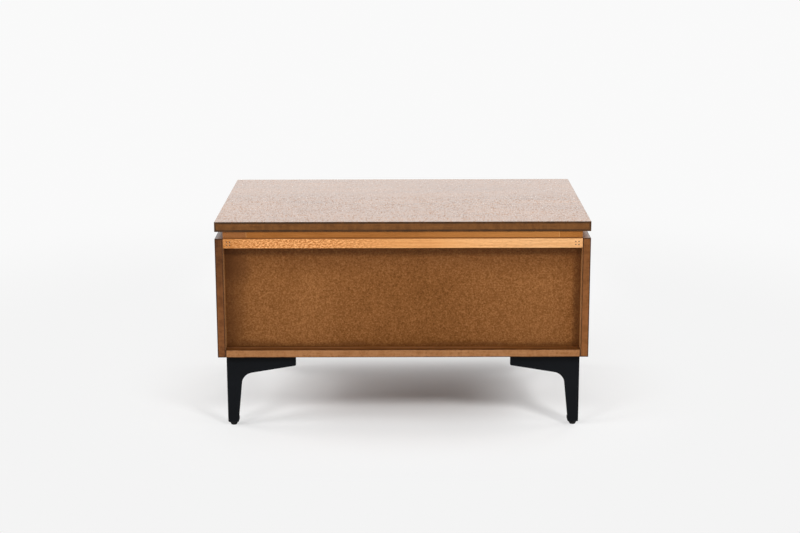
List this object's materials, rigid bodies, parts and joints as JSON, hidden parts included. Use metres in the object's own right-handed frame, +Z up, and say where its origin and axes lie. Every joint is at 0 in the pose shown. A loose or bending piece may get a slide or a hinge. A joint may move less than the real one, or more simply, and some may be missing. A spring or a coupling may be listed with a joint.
{
  "type": "nightstand",
  "caption": "Low nightstand with a floating top, one drawer on ball-bearing runners and tapered black metal legs",
  "frame": {"origin": "on the floor, below the middle of the case", "axes": "+X along the width, to the right of someone who faces the drawer; -Y is the drawer side and +Y the back; +Z up"},
  "size_m": [0.6, 0.38, 0.344],
  "materials": {
    "walnut_veneer": "satin lacquer",
    "stained_oak": "satin lacquer",
    "pale_oak": "satin lacquer",
    "stained_fibreboard": "matte stain",
    "drawer_wood": "satin lacquer",
    "drawer_plywood": "satin lacquer",
    "beech_dowel": "bare",
    "black_metal": "matte",
    "foot_rubber": "matte",
    "dark_steel": "satin",
    "zinc_screw": "zinc plated",
    "zinc_runner": "zinc plated",
    "ball_steel": "polished"
  },
  "bodies": {
    "case": {"top_panel": "walnut_veneer", "top_spacer_left": "stained_oak", "top_spacer_right": "stained_oak", "top_spacer_front": "stained_oak", "top_spacer_back": "stained_oak", "side_panel_left": "walnut_veneer", "side_panel_right": "walnut_veneer", "bottom_panel": "walnut_veneer", "back_panel": "stained_fibreboard", "back_rail": "pale_oak", "front_rail": "pale_oak", "case_dowels": "beech_dowel", "top_screws": "zinc_screw", "rail_pins": "dark_steel", "leg_screws": "dark_steel", "runner_case_screws": "zinc_screw", "runner_end_stops": "foot_rubber", "leg_back_left": "black_metal", "leg_back_right": "black_metal", "leg_front_left": "black_metal", "leg_front_right": "black_metal", "foot_pad_back_left": "foot_rubber", "foot_pad_back_right": "foot_rubber", "foot_pad_front_left": "foot_rubber", "foot_pad_front_right": "foot_rubber", "runner_outer_left": "zinc_runner", "runner_outer_right": "zinc_runner"},
    "drawer": {"drawer_front": "walnut_veneer", "drawer_box_front": "drawer_wood", "drawer_box_back": "drawer_wood", "drawer_side_left": "drawer_wood", "drawer_side_right": "drawer_wood", "drawer_bottom": "drawer_plywood", "drawer_dowels": "beech_dowel", "drawer_front_screws": "zinc_screw", "runner_drawer_screws": "zinc_screw", "runner_inner_left": "zinc_runner", "runner_inner_right": "zinc_runner"},
    "runner_middle_left": {"runner_middle_left": "zinc_runner"},
    "ball_cage_outer_left": {"ball_cage_outer_left": "zinc_runner", "balls_outer_left": "ball_steel"},
    "ball_cage_inner_left": {"ball_cage_inner_left": "zinc_runner", "balls_inner_left": "ball_steel"},
    "runner_middle_right": {"runner_middle_right": "zinc_runner"},
    "ball_cage_outer_right": {"ball_cage_outer_right": "zinc_runner", "balls_outer_right": "ball_steel"},
    "ball_cage_inner_right": {"ball_cage_inner_right": "zinc_runner", "balls_inner_right": "ball_steel"}
  },
  "joints": [
    {"name": "drawer_slide", "type": "slide", "parent": "case", "child": "drawer", "axis": [0, -1, 0], "range_m": [0, 0.28]},
    {"name": "runner_middle_left_slide", "type": "slide", "parent": "case", "child": "runner_middle_left", "axis": [0, -1, 0], "range_m": [0, 0.14]},
    {"name": "ball_cage_outer_left_slide", "type": "slide", "parent": "case", "child": "ball_cage_outer_left", "axis": [0, -1, 0], "range_m": [0, 0.07]},
    {"name": "ball_cage_inner_left_slide", "type": "slide", "parent": "case", "child": "ball_cage_inner_left", "axis": [0, -1, 0], "range_m": [0, 0.21]},
    {"name": "runner_middle_right_slide", "type": "slide", "parent": "case", "child": "runner_middle_right", "axis": [0, -1, 0], "range_m": [0, 0.14]},
    {"name": "ball_cage_outer_right_slide", "type": "slide", "parent": "case", "child": "ball_cage_outer_right", "axis": [0, -1, 0], "range_m": [0, 0.07]},
    {"name": "ball_cage_inner_right_slide", "type": "slide", "parent": "case", "child": "ball_cage_inner_right", "axis": [0, -1, 0], "range_m": [0, 0.21]}
  ],
  "couplings": [
    {"joint": "runner_middle_left_slide", "follows": "drawer_slide", "ratio": 0.5},
    {"joint": "ball_cage_outer_left_slide", "follows": "drawer_slide", "ratio": 0.25},
    {"joint": "ball_cage_inner_left_slide", "follows": "drawer_slide", "ratio": 0.75},
    {"joint": "runner_middle_right_slide", "follows": "drawer_slide", "ratio": 0.5},
    {"joint": "ball_cage_outer_right_slide", "follows": "drawer_slide", "ratio": 0.25},
    {"joint": "ball_cage_inner_right_slide", "follows": "drawer_slide", "ratio": 0.75}
  ]
}
